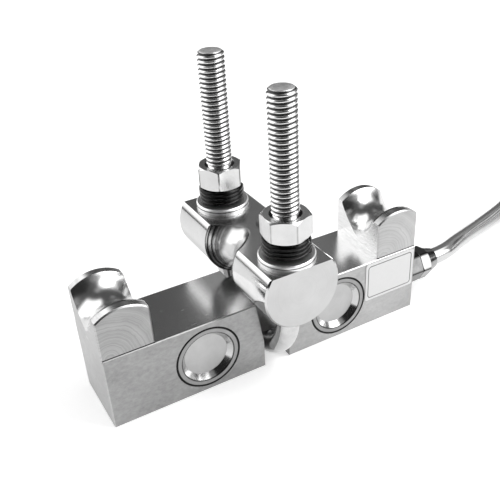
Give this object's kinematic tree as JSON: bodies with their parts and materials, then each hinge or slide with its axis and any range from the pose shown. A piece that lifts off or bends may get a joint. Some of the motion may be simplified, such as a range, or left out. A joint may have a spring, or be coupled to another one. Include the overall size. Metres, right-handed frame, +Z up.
{
  "type": "wire rope load cell",
  "caption": "Clamp-on weighing load cell for a wire rope: a grooved steel beam with saddles, a press bar held down by a threaded U-bolt, and a signal cable.",
  "frame": {"origin": "middle of the beam's underside, which is the bottom centre of the sensor without its cable and gland", "axes": "+X along the beam towards the cable gland, +Y across the beam to the rear stud, +Z up along the studs"},
  "size_m": [0.4137, 0.142, 0.138],
  "materials": {
    "bare_steel": "machined and finely brushed, polished in the grooves",
    "plated_steel": "bright plated",
    "black_steel": "black oxide, oiled",
    "label": "white film with a grey border line",
    "nickel_brass": "nickel plated",
    "rubber": "matt",
    "cable_jacket": "glossy grey",
    "sleeve_plastic": "shrunk sleeve",
    "tie_plastic": "nylon",
    "wire": "insulated cores",
    "circuit_board": "varnished",
    "gauge_film": "polyimide film with metal grids"
  },
  "bodies": {
    "root": {"beam": "bare_steel", "press_bar": "bare_steel", "u_bolt": "plated_steel", "rating_plate": "label", "gland_seal": "rubber", "gland_body": "nickel_brass", "gland_grommet": "rubber", "gland_nut": "nickel_brass", "terminal_board": "circuit_board", "inner_lead": "wire", "link_lead": "wire", "cable_stub": "cable_jacket", "cable": "cable_jacket", "cable_coil": "cable_jacket", "coil_ties": "tie_plastic", "cable_sleeve": "sleeve_plastic", "core_wires": "wire", "front_flat_washer": "plated_steel", "front_spring_washer": "black_steel", "front_nut": "plated_steel", "front_left_cap": "bare_steel", "front_left_gauge": "gauge_film", "front_right_cap": "bare_steel", "front_right_gauge": "gauge_film", "rear_flat_washer": "plated_steel", "rear_spring_washer": "black_steel", "rear_nut": "plated_steel", "rear_left_cap": "bare_steel", "rear_left_gauge": "gauge_film", "rear_right_cap": "bare_steel", "rear_right_gauge": "gauge_film"}
  },
  "joints": []
}
